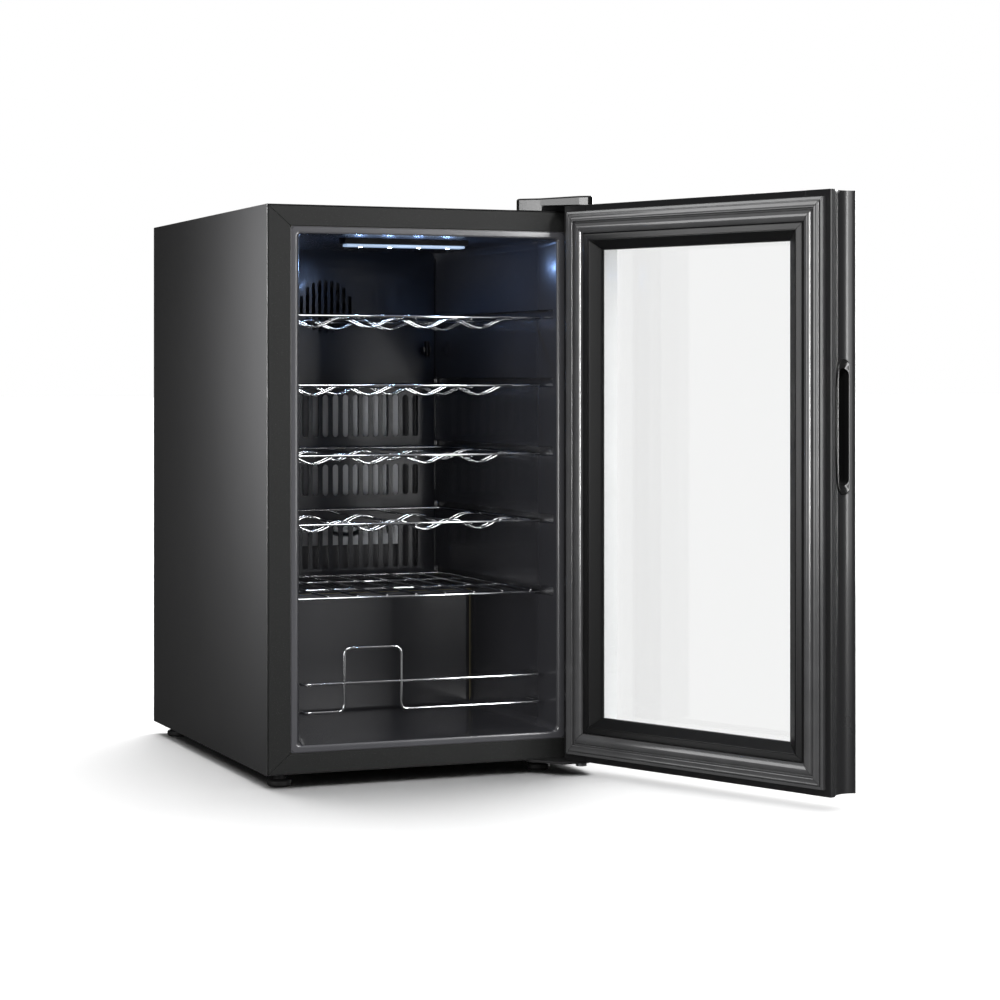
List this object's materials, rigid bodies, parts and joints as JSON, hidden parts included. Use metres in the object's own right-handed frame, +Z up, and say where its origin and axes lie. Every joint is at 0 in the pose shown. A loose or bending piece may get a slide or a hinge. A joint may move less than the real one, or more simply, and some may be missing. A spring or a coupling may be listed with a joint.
{
  "type": "wine cooler",
  "caption": "Freestanding wine cooler with a hinged glass door, pull-out wire shelves shaped for bottles, a bottle guard, a ceiling lamp and a rear machine compartment.",
  "frame": {"origin": "centre of the cabinet's underside, on the panel pressed into the base pan; the feet reach 17 mm below it", "axes": "+Z up, -Y out of the front of the cabinet, +X to the right as seen from the front, where the door's hinges are"},
  "size_m": [0.6028, 0.9573, 0.739],
  "materials": {
    "side_paint": "satin",
    "frame_paint": "matte",
    "back_paint": "matte",
    "tank_plastic": "satin",
    "black_plastic": "satin",
    "door_black": "satin",
    "seal_rubber": "satin",
    "chrome": "polished",
    "steel": "satin",
    "compressor_paint": "satin",
    "copper": "satin",
    "foam": "matte",
    "glass": "polished",
    "lamp_lens": "gloss",
    "rubber": "matte"
  },
  "bodies": {
    "cabinet": {"left_side_panel": "side_paint", "right_side_panel": "side_paint", "top_panel": "side_paint", "base_pan": "back_paint", "back_panel": "back_paint", "front_frame_left": "frame_paint", "front_frame_right": "frame_paint", "front_frame_top": "frame_paint", "front_frame_bottom": "frame_paint", "inner_tank": "tank_plastic", "insulation_foam": "foam", "duct_cover": "tank_plastic", "evaporator_plate": "steel", "fan_motor": "black_plastic", "lamp_housing": "black_plastic", "lamp_lens": "lamp_lens", "temperature_sensor": "black_plastic", "compressor_plate": "steel", "compressor": "compressor_paint", "compressor_mount_1": "rubber", "compressor_mount_2": "rubber", "compressor_mount_3": "rubber", "compressor_mount_4": "rubber", "drain_tray": "black_plastic", "control_box": "black_plastic", "power_inlet": "black_plastic", "condenser_coil": "copper", "condenser_fan_frame": "black_plastic", "foot_rear_left": "rubber", "foot_rear_right": "rubber", "upper_hinge_bracket": "steel", "upper_hinge_pin": "steel", "hinge_cover": "black_plastic", "lower_hinge_bracket": "steel", "lower_hinge_pin": "steel"},
    "door": {"door_stile_hinge": "door_black", "door_stile_free": "door_black", "door_rail_top": "door_black", "door_rail_bottom": "door_black", "door_bush_top": "rubber", "door_bush_bottom": "rubber", "door_grip": "black_plastic", "outer_glass": "glass", "glass_spacer": "steel", "inner_glass": "glass", "inner_trim": "black_plastic", "door_seal": "seal_rubber"},
    "shelf_1": {"shelf_1": "chrome"},
    "shelf_2": {"shelf_2": "chrome"},
    "shelf_3": {"shelf_3": "chrome"},
    "shelf_4": {"shelf_4": "chrome"},
    "shelf_5": {"shelf_5": "chrome"},
    "bottle_guard": {"bottle_guard": "chrome"},
    "circulation_fan": {"circulation_fan": "black_plastic"},
    "condenser_fan": {"condenser_fan": "black_plastic"},
    "foot_front_left": {"foot_front_left": "rubber"},
    "foot_front_right": {"foot_front_right": "rubber"}
  },
  "joints": [
    {"name": "door_hinge", "type": "hinge", "parent": "cabinet", "child": "door", "pos_m": [0.1972, -0.29775, 0.35], "axis": [0, 0, 1], "range_deg": [-112.8, 2]},
    {"name": "shelf_1_slide", "type": "slide", "parent": "cabinet", "child": "shelf_1", "axis": [0, -1, 0], "range_m": [0, 0.25]},
    {"name": "shelf_2_slide", "type": "slide", "parent": "cabinet", "child": "shelf_2", "axis": [0, -1, 0], "range_m": [0, 0.25]},
    {"name": "shelf_3_slide", "type": "slide", "parent": "cabinet", "child": "shelf_3", "axis": [0, -1, 0], "range_m": [0, 0.25]},
    {"name": "shelf_4_slide", "type": "slide", "parent": "cabinet", "child": "shelf_4", "axis": [0, -1, 0], "range_m": [0, 0.25]},
    {"name": "shelf_5_slide", "type": "slide", "parent": "cabinet", "child": "shelf_5", "axis": [0, -1, 0], "range_m": [0, 0.25]},
    {"name": "bottle_guard_slide", "type": "slide", "parent": "cabinet", "child": "bottle_guard", "axis": [0, -1, 0], "range_m": [0, 0.08]},
    {"name": "circulation_fan_spin", "type": "hinge", "parent": "cabinet", "child": "circulation_fan", "pos_m": [0, 0.153, 0.59], "axis": [0, 1, 0], "continuous": true},
    {"name": "condenser_fan_spin", "type": "hinge", "parent": "cabinet", "child": "condenser_fan", "pos_m": [-0.151, 0.157, 0.078], "axis": [1, 0, 0], "continuous": true},
    {"name": "foot_front_left_turn", "type": "hinge", "parent": "cabinet", "child": "foot_front_left", "pos_m": [-0.19, -0.245, -0.01], "axis": [0, 0, 1], "continuous": true},
    {"name": "foot_front_right_turn", "type": "hinge", "parent": "cabinet", "child": "foot_front_right", "pos_m": [0.162, -0.239, -0.01], "axis": [0, 0, 1], "continuous": true}
  ]
}
